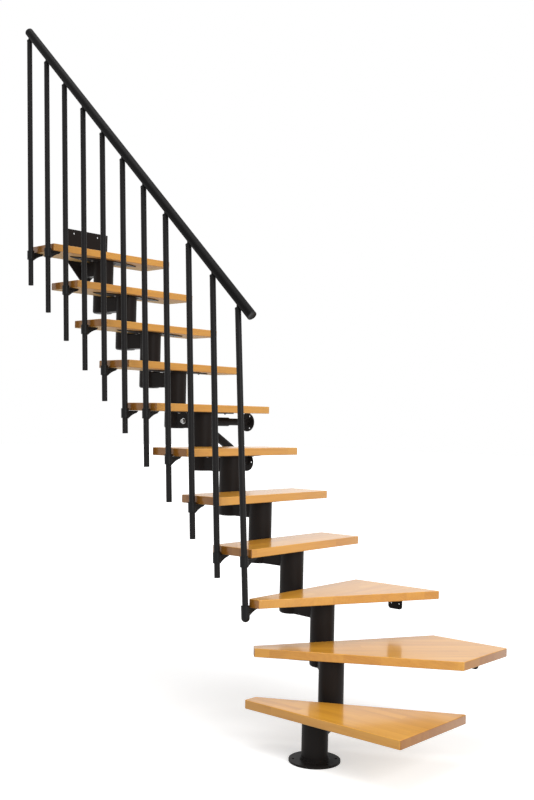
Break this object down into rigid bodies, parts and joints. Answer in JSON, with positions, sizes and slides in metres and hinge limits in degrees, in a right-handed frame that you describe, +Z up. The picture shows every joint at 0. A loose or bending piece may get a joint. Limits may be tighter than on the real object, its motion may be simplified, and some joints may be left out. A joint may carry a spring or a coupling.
{
  "type": "modular staircase",
  "caption": "Modular staircase with a central steel spine, wooden treads, winder treads at the foot, a one-sided baluster railing, a wall brace and a landing plate.",
  "frame": {"origin": "centre of the underside of the floor flange, on the floor", "axes": "+Z up, +Y up the straight flight, +X from the railing side toward the wall"},
  "size_m": [0.961, 2.7127, 3.7496],
  "materials": {
    "spine_steel": "satin charcoal-black powder coat",
    "tread_wood": "honey-coloured laminated wood with a gloss lacquer",
    "railing_steel": "satin black powder coat",
    "fittings_black": "moulded black fittings with a soft sheen",
    "bright_steel": "bright zinc-plated steel"
  },
  "bodies": {
    "root": {"floor_flange": "spine_steel", "spine_01": "spine_steel", "spine_02": "spine_steel", "spine_03": "spine_steel", "spine_04": "spine_steel", "spine_05": "spine_steel", "spine_06": "spine_steel", "spine_07": "spine_steel", "spine_08": "spine_steel", "spine_09": "spine_steel", "spine_10": "spine_steel", "spine_11": "spine_steel", "tread_plates": "spine_steel", "landing_plate": "spine_steel", "wall_arm": "spine_steel", "wall_strut": "spine_steel", "winder_wall_brackets": "spine_steel", "tread_01": "tread_wood", "tread_02": "tread_wood", "tread_03": "tread_wood", "tread_04": "tread_wood", "tread_05": "tread_wood", "tread_06": "tread_wood", "tread_07": "tread_wood", "tread_08": "tread_wood", "tread_09": "tread_wood", "tread_10": "tread_wood", "tread_11": "tread_wood", "baluster_01": "railing_steel", "baluster_02": "railing_steel", "baluster_03": "railing_steel", "baluster_04": "railing_steel", "baluster_05": "railing_steel", "baluster_06": "railing_steel", "baluster_07": "railing_steel", "baluster_08": "railing_steel", "baluster_09": "railing_steel", "baluster_10": "railing_steel", "baluster_11": "railing_steel", "handrail": "railing_steel", "baluster_brackets": "fittings_black", "baluster_caps": "fittings_black", "handrail_caps": "fittings_black", "brace_bolt": "bright_steel"}
  },
  "joints": []
}
